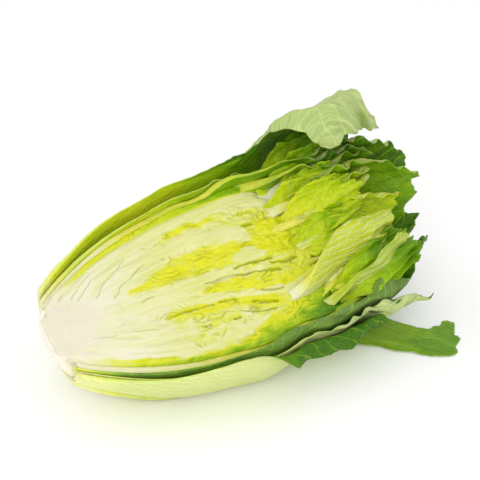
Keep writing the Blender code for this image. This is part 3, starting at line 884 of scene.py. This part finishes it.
def lobe_sheets(lobe, number):
    base, tip, face = np.array(lobe.base), np.array(lobe.tip), np.array(lobe.faces)
    along_axis = tip - base
    length = np.linalg.norm(along_axis)
    along_axis = along_axis / length
    face = face - along_axis * (face @ along_axis)
    face = face / np.linalg.norm(face)
    side = np.cross(face, along_axis)
    across, along = np.meshgrid(np.linspace(-1, 1, LOBE_GRID[0] + 1), np.linspace(0, 1, LOBE_GRID[1] + 1),
                                indexing="ij")
    reach = 1 - 0.22 * np.abs(across) ** 2.4 + 0.07 * uneven(across * 3.0, 0 * across, number)
    reach = reach + 0.045 * uneven(across * 9.0, 3 + 0 * across, number)
    reach = reach + 0.03 * uneven(across * 26.0, 6 + 0 * across, number)
    x = length * along * reach
    toothed = 1 + 0.06 * uneven(along * 9.0, across * 0, number)
    toothed = toothed + 0.04 * uneven(along * 24.0, across * 0, number)
    half = lobe.half_width * (0.4 + 0.6 * ease(along, 0.0, 0.5)) * toothed
    y = across * half
    margin = np.maximum(ease(along, 0.55, 1.0), ease(np.abs(across), 0.55, 1.0) * ease(along, 0.1, 0.5))
    rib = 0.6 * np.exp(-((y / 2.5) ** 2)) * (1 - ease(along, 0.15, 0.7))
    round_margin = y * 1.1 + np.sign(across) * x * 0.35 * ease(np.abs(across), 0.3, 1.0)
    frill = np.sin(2 * np.pi * round_margin / FRILL_LENGTH + 2.5 * uneven(x / 18.0, y / 18.0, number) + number)
    height = lobe.arch * np.sin(np.pi * along) - lobe.curl * along**3 + lobe.cup * half * across**2
    fine_frill = 2 * np.pi * round_margin / FINE_FRILL_LENGTH + 3.0 * uneven(x / 9.0, y / 9.0, number + 1)
    fine_frill = np.sin(fine_frill)
    height = height + lobe.ruffle * margin * (frill + 0.4 * margin * fine_frill)
    height = height + layered(x, y, number, LOBE_CRUMPLES)
    points = base + x[..., None] * along_axis + y[..., None] * side + height[..., None] * face
    wall = 0.7 + 1.5 * rib
    sheets = [to_world(points), to_world(points - wall[..., None] * face)]
    green = lobe.greens[0] + (lobe.greens[1] - lobe.greens[0]) * ease(along, 0.0, 0.85)
    green = green + 0.06 * uneven(x / 12.0, y / 9.0, number)
    return sheets, dict(wall=wall, from_rib=y, x=x, rib=rib, green=green)


LOBES = [
    Lobe("lobe_far_outer", (172, 52, -4), (240, 60, 8), 18, (0.62, 0.88), "far_leaf_6"),
    Lobe("lobe_far_green", (166, 40, -3), (240, 40, 12), 19, (0.55, 0.8), "far_leaf_5"),
    Lobe("lobe_far_lime", (164, 27, -3), (226, 27, 11), 16, (0.5, 0.7), "far_leaf_4"),
    Lobe("lobe_yellow_hood", (168, 13, -2), (226, 13, 20), 17, (0.42, 0.58), "far_leaf_2", "heart_leaf",
         curl=10),
    Lobe("lobe_heart_low", (164, -4, -4), (216, -2, 9), 13, (0.45, 0.68), "near_leaf_1", "heart_leaf"),
    Lobe("lobe_near_pale", (168, -36, -5), (228, -22, 15), 14, (0.3, 0.62), "near_leaf_4", "heart_leaf"),
    Lobe("lobe_near_green", (174, -46, -4), (240, -34, 16), 15, (0.6, 0.85), "near_leaf_5"),
]
for number, lobe in enumerate(LOBES, start=30):
    mesh = leaf_mesh(lobe, number, *lobe_sheets(lobe, number))
    made = put(lobe.name, mesh, lobe.slot, finishes[lobe.slot], lobe.node)
    print(made.name, len(made.data.polygons), "faces")


# %% [markdown]
# ## The face that the knife left
# Cut through, the leaves don't look like the pages of a book. The blades are folded and crumpled so tightly
# that their sections run together into one moist surface, with a few thin slots where light falls in. White
# midribs cross it lengthwise. One dense sheet over the cut, raised and lowered by its ribs, crumples and
# slots, shows that better than the bare edges of the leaves, which end just below it.

# %% Midribs, yellow heart and slots of the face
# Each midrib or blade is a line of points: x, y and half its width there, in millimetres
CUT_RIBS = [
    [(14, 18, 2.4), (25, 23, 4.0), (45, 31, 4.0), (69, 38, 4.0), (94, 46, 4.0), (115, 50, 2.4)],
    [(32, 11, 2.4), (45, 25, 5.6), (68, 35, 5.6), (92, 42, 6.4), (124, 48, 8.0), (152, 44, 8.0), (170, 36, 7.2),
     (179, 25, 3.2)],
    [(42, 5, 2.4), (56, 17, 4.8), (76, 23, 5.6), (99, 27, 7.2), (119, 25, 8.8), (134, 20, 6.4), (142, 13, 2.4)],
    [(46, 3, 1.6), (64, 13, 3.2), (83, 17, 2.4)],
    [(37, -4, 6.4), (61, -7, 8.8), (85, -7, 8.0), (104, -5, 4.0), (119, -2, 1.6)],
    [(81, -16, 2.4), (101, -19, 3.2), (126, -25, 2.4), (155, -32, 4.0), (176, -28, 4.8)],
    [(127, 3, 3.2), (135, 2, 4.8), (145, 0, 2.4)],
    [(18, -11, 11.2), (36, -18, 12.8), (51, -29, 11.2), (64, -43, 6.4), (76, -52, 3.2)],
    [(78, -49, 2.4), (93, -50, 4.8), (110, -47, 4.8), (125, -44, 2.4)],
]
YELLOW_BLADES = [
    [(55, 5, 3.2), (68, 6, 5.6), (86, 8, 7.2), (108, 9, 8.0), (130, 10, 6.4), (153, 4, 5.6), (174, 0, 4.8)],
    [(97, -11, 3.2), (120, -16, 4.0), (144, -26, 4.8), (165, -28, 4.8)],
    [(87, 31, 2.4), (104, 36, 4.0), (122, 37, 4.0)],
    [(69, -22, 2.4), (91, -23, 4.0), (111, -25, 4.0), (135, -34, 4.0)],
    [(156, 19, 4.8), (172, 17, 5.6), (179, 9, 5.6)],
]
SLOTS = [
    [(22, 11, 0.4), (27, 16, 0.3), (38, 24, 0.1)], [(13, 16, 0.3), (16, 19, 0.2)],
    [(19, 14, 0.3), (26, 21, 0.15), (44, 30, 0.1)], [(32, 8, 0.2), (41, 17, 0.3), (60, 28, 0.1)],
    [(41, 4, 0.35), (51, 11, 0.3), (70, 20, 0.1)], [(56, -5, 0.4), (60, -4, 0.6), (66, -3, 0.3)],
    [(20, -16, 0.15), (26, -18, 0.4), (34, -20, 0.1)], [(44, -21, 0.1), (50, -24, 0.35), (57, -26, 0.1)],
    [(44, -42, 0.1), (52, -45, 0.35), (60, -48, 0.2)],
    [(122, -4, 0.6), (137, -5, 0.9), (149, -6, 0.8)], [(143, -14, 1.6), (150, -15, 1.2)],
    [(131, -25, 0.5), (139, -28, 0.8), (146, -29, 0.6)], [(123, -31, 1.3), (134, -36, 1.1)],
    [(110, -34, 0.4), (123, -39, 0.5), (133, -41, 0.4)], [(101, -23, 0.6), (113, -25, 0.9)],
    [(67, -21, 0.8), (75, -21, 0.6), (85, -22, 0.8), (96, -23, 0.6)], [(100, -7, 0.5), (113, -8, 0.7),
     (130, -11, 0.6), (142, -14, 0.5)], [(143, 23, 1.2), (149, 23, 1.0)], [(165, 12, 1.6), (174, 11, 1.3)],
    [(146, -9, 0.7), (155, -12, 1.0), (165, -11, 1.0)], [(87, -36, 0.9), (90, -35, 0.8)],
    [(104, -38, 0.8), (108, -38, 0.7)],
]


def near_lines(x, y, lines, low, high):
    """1 on the lines, 0 away from them, by the distance measured in half widths."""
    share = np.zeros_like(x)
    for line in lines:
        nearest = np.full_like(x, 9.0)
        for (x0, y0, w0), (x1, y1, w1) in zip(line, line[1:]):
            dx, dy = x1 - x0, y1 - y0
            t = np.clip(((x - x0) * dx + (y - y0) * dy) / (dx * dx + dy * dy), 0.0, 1.0)
            away = np.hypot(x - x0 - t * dx, y - y0 - t * dy) / (w0 + t * (w1 - w0))
            nearest = np.minimum(nearest, away + 0.3 * uneven(x / 6.0, y / 2.2, 75))
        share = np.maximum(share, 1 - ease(nearest, low, high))
    return share


print(len(CUT_RIBS), "midribs,", len(YELLOW_BLADES), "yellow blades and", len(SLOTS), "slots")

# %% Relief of the face
FACE_COLUMNS, FACE_ROWS = ((330, 216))
FOLDS = 12.0  # how many folds of tissue lie between the axis and the closed head's outside
FACE_WARP = [(2.4, 17.0, 8.0, 60), (1.2, 7.0, 4.0, 61)]
FACE_LUMPS = [(0.9, 6.0, 3.2, 63), (0.6, 2.8, 1.7, 64), (0.25, 1.5, 1.1, 65)]
SHARPNESS = 28.0  # how narrow the grooves between the leaves' feet are
FACE_CROWDING = 0.93
INSIDE_BUTT = 0.8  # how far inside the butt's end the face starts
SKIRT = 2.5  # how far the face's edge reaches down, so that no light comes in under it
DIVE, DIVE_LENGTH = 9.0, 24.0  # how the face dips under the free blades at its end
FAR_LEVELS = [leaf.level for leaf in LEAVES if leaf.cut == "start"]
NEAR_LEVELS = [leaf.level for leaf in LEAVES if leaf.cut == "end"]


def face_relief(x, y, level, far):
    """Height of the face over the plane of the cut, and what its finish is made from."""
    wx, wy = x + 1.8 * uneven(x / 9.0, y / 6.0, 70), y + 1.3 * uneven(x / 11.0, y / 6.0, 71)
    rib = near_lines(wx, wy, CUT_RIBS, 0.3, 1.45)
    yellow = near_lines(wx, wy, YELLOW_BLADES, 0.0, 2.0)
    slot = near_lines(wx, y + 0.5 * uneven(x / 4.0, y / 4.0, 72), SLOTS, 0.5, 1.5)
    core = 1 - ease(np.hypot(x / 1.35, y + 4.0) + 4.0 * uneven(x / 9.0, y / 4.0, 74), 8.0, 34.0)
    crumpled = ease(x, 42.0, 88.0) * (1 - 0.93 * rib)
    phase = level * FOLDS + 0.95 * layered(x, y, 0, FACE_WARP)
    off = 2 * np.abs(phase - np.floor(phase) - 0.5)
    valley = ease(off, 0.45, 1.0) * ease(uneven(x / 9.0, level * 11.0, 62), -0.35, 0.6)
    height = crumpled * (layered(x, y, 0, FACE_LUMPS) - 1.7 * valley) + 0.35 * rib * ease(x, 40.0, 80.0)
    height = height + 0.25 * uneven(x / 22.0, y / 9.0, 66) + 0.5 * uneven(x / 30.0, y / 5.5, 69) * (1 - core)
    height = height - (0.6 + 2.6 * ease(x, 50.0, 95.0)) * slot
    groove = 0.0 * x
    for side, levels in ((far, FAR_LEVELS), (1 - far, NEAR_LEVELS)):
        for at in levels:
            groove = np.maximum(groove, side * np.exp(-(((level - at) * SHARPNESS) ** 2)))
    groove = groove * (1 - core) * (1 - ease(x, 50.0, 100.0)) * ease(uneven(x / 14.0, level * 9, 67), -0.4, 0.5)
    height = height - 0.7 * groove
    green = 0.17 * ease(x, 40.0, 85.0) + 0.2 * yellow + 0.2 * ease(x, 120.0, 190.0)
    # Random mottling, plus a little more green in the valleys of the crumples, which is painted shade
    green = green + 0.06 * uneven(x / 9.0, y / 5.0, 68) * ease(x, 50.0, 90.0) + 0.09 * valley * crumpled
    far_edge = ease(level, 0.85, 0.94) * (0.75 * ease(x, 10.0, 34.0) + 0.25 * ease(x, 75.0, 130.0))
    near_start = 0.84 - 0.24 * ease(x, 60.0, 150.0)
    near_edge = ease(level - 0.05 * uneven(x / 7.0, y / 4.0, 76), near_start, 0.95)
    near_edge = near_edge * ease(x, 6.0, 40.0)
    edge = np.where(far > 0.5, far_edge, near_edge)
    height = height - 1.6 * far * far_edge * (1 - ease(x, 100.0, 150.0))
    # The edges and the tip end are greener in their own colour; the extra green in the slots is painted shade
    green = green + 0.5 * edge + 0.12 * slot + 0.42 * ease(x, 135.0, 185.0) * (1 - ease(y, -42.0, -18.0))
    rib = rib * (1 - edge)
    # deep is painted shade: how far the colour darkens in the valleys, slots and grooves
    return height, dict(rib=rib, green=green * (1 - 0.8 * rib) * (1 - core), core=core, yellow=yellow,
                        deep=np.clip(valley * crumpled * 0.6 + slot + groove * 0.5, 0, 1))


def face_grid():
    """Points of the face in the head's frame, and the level and side that each lies on."""
    across, along = np.meshgrid(np.linspace(-1, 1, FACE_ROWS + 1), np.linspace(0, 1, FACE_COLUMNS + 1),
                                indexing="ij")
    far = (across > 0).astype(float)
    end = FACE_ENDS + 22.0 + 7.0 * uneven(across * 6.0, 0 * across, 80)
    start = INSIDE_BUTT - BUTT_DEPTH
    x = start + (end - start) * along**FACE_CROWDING
    outermost = np.where(far > 0.5, shell(x, 1.0) + 0.6, shell(x, 0.94) + 1.4)
    outermost = outermost + shared_wave(x, np.where(far > 0.5, 0.0, np.pi), outermost)
    rounded = np.sqrt(np.clip((x + BUTT_DEPTH) / (BUTT_DEPTH + 3.0), 0.0, 1.0))
    outermost = np.where(x < 3.0, 8.0 + (outermost - 8.0) * rounded, outermost)
    radius = np.abs(across) * outermost
    level = np.abs(across) * np.where(far > 0.5, 1.0, 0.97)
    foot = 1 - np.clip(x / CORE_LENGTH, 0.0, 1.0)
    core = core_radius(x) + GAP
    level = foot + (1 - foot) * np.clip((radius - core) / np.maximum(envelope(x) - core, 1.0), 0.0, 1.2)
    return x, centre_shift(x) + np.sign(across) * radius, level, far, across, end


print("the face has", (FACE_COLUMNS + 1) * (FACE_ROWS + 1), "points")


# %% Mesh of the face
def face_mesh():
    x, y, level, far, across, end = face_grid()
    height, values = face_relief(x, y, level, far)
    rim_share = ease(np.abs(across), 0.94, 1.0)
    butt_rim = np.maximum(ease(np.abs(across), 0.86, 1.0), 1 - ease(x, -BUTT_DEPTH, -BUTT_DEPTH + 3.0))
    dive = ease(x, end - DIVE_LENGTH, end)
    height = 0.4 + height * (1 - 0.5 * rim_share) - 1.2 * rim_share**2 - DIVE * dive
    height = height - 1.8 * butt_rim * (1 - ease(x, 2.0, 12.0))
    top = to_world(np.stack([x, y, height], axis=-1))
    i, j = edge_loop(*x.shape)
    skirt = to_world(np.stack([x[i, j], y[i, j], height[i, j] - SKIRT], axis=-1))
    count = x.size
    index, quads = grid_quads(*x.shape)
    upper, lower = index[i, j], count + np.arange(len(i))
    sides = np.stack([upper, np.roll(upper, -1), np.roll(lower, -1), lower], axis=-1)
    mesh = bpy.data.meshes.new("cut_face")
    points = np.concatenate([top.reshape(-1, 3), skirt])
    mesh.from_pydata((points * MM).tolist(), [], np.roll(quads, -1, axis=1).tolist() + sides[:, ::-1].tolist())
    place = np.stack([x, y, across * BELLY_RADIUS], axis=-1).reshape(-1, 3)
    place = np.concatenate([place, place[upper]])
    layers = {name: np.concatenate([layer.ravel(), layer[i, j]]) for name, layer in values.items()}
    return keep_values(mesh, place, layers)


def face_material():
    r = Recipe("cut_face_finish")
    place = r.value_on("leaf_place", "Vector")
    green, rib, core = r.value_on("green"), r.value_on("rib"), r.value_on("core")
    yellow, deep = r.value_on("yellow"), r.value_on("deep")
    flow = r.noise(place, (0.035, 0.0, 0.42), Detail=4.0, Distortion=0.4)
    mottle = r.noise(place, (0.16, 0.28, 0.0), Detail=6.0, Roughness=0.65, Distortion=1.1)
    fine = r.noise(place, (0.5, 0.9, 0.0), Detail=3.0, Distortion=1.5)
    greens = green + ((mottle - 0.5) * 0.55 + (flow - 0.5) * 0.4) * green.between(0.0, 0.25)
    tissue = r.ramp(greens, [
        (0.0, tone(228, 224, 196)), (0.12, tone(222, 221, 152)), (0.25, tone(212, 216, 76)),
        (0.4, tone(218, 218, 30)), (0.55, tone(190, 206, 14)), (0.72, tone(146, 184, 6)),
        (1.0, tone(84, 134, 6))])
    tissue = r.mixed(yellow.between(0.1, 1.0) * mottle.between(0.3, 0.66) * 0.85, tissue, tone(220, 216, 10))
    along = r.out(r.node("ShaderNodeSeparateXYZ", (), {0: place}), 0)
    cream = r.mixed(flow.between(0.36, 0.7) * 0.6, tone(226, 223, 192), tone(214, 216, 150))
    straw = r.mixed(flow.between(0.36, 0.7) * 0.7, tone(222, 221, 156), tone(206, 210, 100))
    white = r.mixed(along.between(20.0, 95.0), cream, straw)
    tissue = r.mixed(rib.between(0.08, 0.9), tissue, white)
    core_colour = r.mixed(mottle.between(0.4, 0.7), tone(225, 219, 198), tone(224, 214, 188))
    tissue = r.mixed(core.between(0.1, 0.9), tissue, core_colour)
    # Painted shade: where deep marks valleys, slots and grooves, the tissue is darkened towards a dull olive
    shaded = r.mixed(along.between(30.0, 80.0), tone(208, 210, 140), tone(176, 188, 20))
    tissue = r.mixed(deep * 0.7, tissue, shaded)
    height = mottle * (1 - rib * 0.7) * 0.9 + fine * (1 - rib * 0.8) * 0.5 + flow * rib * 0.35
    return r.finish(tissue, height, strength=0.5, distance=0.001, sockets={
        "Roughness": 0.36 + (mottle - 0.5) * 0.25, "Specular IOR Level": 0.32, "Subsurface Weight": 0.25,
        "Subsurface Radius": (1.0, 0.95, 0.35)})


face = put("cut_face", face_mesh(), "heart_leaf", face_material(), "heart_leaf_1")
print("cut face:", len(face.data.polygons), "faces")


# %% [markdown]
# ## The stem
# The stem is the solid heart of the butt, where all the leaves are joined. Cut in half it shows a smooth,
# cream-coloured wedge with warmer clouds here and there. It is turned like a pot: a profile, half a turn
# round the axis, and a flat face with shallow marks of the knife. Near its end it is filled out to the feet
# of the outer leaves, so that no gap opens at the butt.

# %% Stem
def stem_mesh():
    stations = [(-BUTT_DEPTH, 8.5), (-BUTT_DEPTH + 0.4, 11.0), (-BUTT_DEPTH + 1.2, 13.4), (-3.0, 15.4)]
    stations += [(x, float(core_radius(x)) + 0.35) for x in np.linspace(-1.0, CORE_LENGTH - 0.6, 60)]
    turns, face = 48, 40
    points, rows = [], []
    for x, radius in stations:
        angle = np.linspace(0, np.pi, turns + 1)
        lumps = 0.5 * uneven(angle * 5, angle * 0 + x / 6.0, 40) * ease(x, -6.0, 4.0)
        reach = radius + lumps * np.sin(angle)
        degrees = np.degrees(angle)
        filled = ease(x, -5.5, 2.0) * (1 - ease(x, 4.0, 13.0))
        filled = filled * ease(degrees, 5.0, 22.0) * (1 - ease(degrees, 146.0, 168.0))
        reach = reach + np.maximum(shell(max(x, 0.0), 1.2) - 0.3 - reach, 0.0) * filled
        y, z = centre_shift(x) + reach * np.cos(angle), -reach * np.sin(angle)
        flat_y = np.linspace(-radius, radius, face + 1)[1:-1]
        flat_z = -0.6 + 0.22 * uneven(flat_y / 5.0 + x / 9.0, flat_y * 0 + x / 14.0, 41)
        flat_z = flat_z * np.sin(np.pi * (flat_y + radius) / (2 * radius)) ** 0.3
        ring = np.stack([np.concatenate([0 * y + x, 0 * flat_y + x]),
                         np.concatenate([y, centre_shift(x) + flat_y]), np.concatenate([z, flat_z])], axis=-1)
        rows.append(len(points) + np.arange(len(ring)))
        points.extend(to_world(ring))
    faces = []
    for near, far in zip(rows, rows[1:]):
        faces += np.stack([near, far, np.roll(far, -1), np.roll(near, -1)], axis=-1).tolist()
    faces += [rows[0].tolist(), rows[-1][::-1].tolist()]
    mesh = bpy.data.meshes.new("stem")
    mesh.from_pydata((np.array(points) * MM).tolist(), [], faces)
    mesh.shade_smooth()
    mesh.set_sharp_from_angle(angle=np.radians(50))
    return mesh


def stem_material():
    r = Recipe("stem_finish")
    where = r.out(r.node("ShaderNodeTexCoord"), "Object")
    grain = r.noise(where, (90.0, 420.0, 420.0), Detail=4.0)
    cloud = r.noise(where, (55.0, 55.0, 55.0), Detail=3.0)
    colour = r.mixed(cloud.between(0.35, 0.7), tone(236, 230, 212), tone(232, 222, 196))
    colour = r.mixed(grain.between(0.5, 0.75) * 0.35, colour, tone(232, 226, 188))
    return r.finish(colour, grain + cloud * 0.6, strength=0.3, distance=0.0006, sockets={
        "Roughness": 0.38 + (cloud - 0.5) * 0.2, "Subsurface Weight": 0.25,
        "Subsurface Radius": (1.0, 0.8, 0.5)})


stem = put("stem_cut", stem_mesh(), "rib", stem_material(), "stem")
print("stem:", len(stem.data.polygons), "faces")


# %% [markdown]
# ## Floor, light and camera
# The photograph was taken on a white ground in soft light from above, with hardly any shadow. A wide pale
# floor under a white sky gives that, and one large lamp on the near side adds just enough direction to model
# the leaves. The camera looks down at the cut face from the near side of the butt through a long lens.

# %% Floor
def floor():
    mesh = bpy.data.meshes.new("floor")
    half, below = 4.0, -0.0002  # metres
    corners = [(-half, -half, below), (half, -half, below), (half, half, below), (-half, half, below)]
    mesh.from_pydata(corners, [], [(0, 1, 2, 3)])
    r = Recipe("floor_white")
    r.feed(r.shader, {"Base Color": (0.98, 0.98, 0.98, 1.0), "Roughness": 0.8})
    mesh.materials.append(r.material)
    made = bpy.data.objects.new("floor", mesh)
    bpy.context.scene.collection.objects.link(made)
    return made


floor()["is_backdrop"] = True

# %% Light
SKY_STRENGTH, KEY_WATTS, KEY_SIZE, KEY_AT = 0.97, 6.5, 0.8, (-0.75, -1.0, 0.8)
HEAD_MIDDLE = (0.0, 0.0, 0.05)
world = bpy.data.worlds.new("white_sky")
world.use_nodes = True
sky = world.node_tree.nodes["Background"].inputs
sky["Color"].default_value, sky["Strength"].default_value = (1.0, 1.0, 1.0, 1.0), SKY_STRENGTH
bpy.context.scene.world = world


def lamp(name, at, watts, size):
    """A square lamp that faces the middle of the head."""
    light = bpy.data.lights.new(name, "AREA")
    light.energy, light.size = watts, size
    made = bpy.data.objects.new(name, light)
    made.location = at
    made.rotation_euler = (Vector(HEAD_MIDDLE) - Vector(at)).to_track_quat("-Z", "Y").to_euler()
    bpy.context.scene.collection.objects.link(made)
    return made


lamp("key", KEY_AT, KEY_WATTS, KEY_SIZE)
bpy.context.scene.view_settings.view_transform = "Standard"
print("sky", SKY_STRENGTH, "and a lamp of", KEY_WATTS, "W")

# %% Camera
CAMERA_AT = (-0.316769, -0.536526, 0.435708)
CAMERA_RIGHT, CAMERA_UP = (0.870356, -0.492424, 0.0), (0.246212, 0.435178, 0.866025)
lens = bpy.data.cameras.new("camera")
lens.lens, lens.sensor_width, lens.clip_start = 85.0, 36.0, 0.01
camera = bpy.data.objects.new("camera", lens)
back = Vector(CAMERA_RIGHT).cross(Vector(CAMERA_UP))
turn = Matrix((CAMERA_RIGHT, CAMERA_UP, back)).transposed().to_4x4()
turn.translation = Vector(CAMERA_AT)
camera.matrix_world = turn
bpy.context.scene.collection.objects.link(camera)
bpy.context.scene.camera = camera
print("camera at", [round(v, 3) for v in camera.matrix_world.translation])

# %% [markdown] ## Sizes, and the end The finished pieces must not make the head bigger than the model,
# so both boxes are written down to be compared.

# %% Finish
scene_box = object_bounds()
for name, box in (("model", cad_box), ("scene", scene_box)):
    print(name, "box in millimetres:", [[round(v / MM) for v in corner] for corner in box])
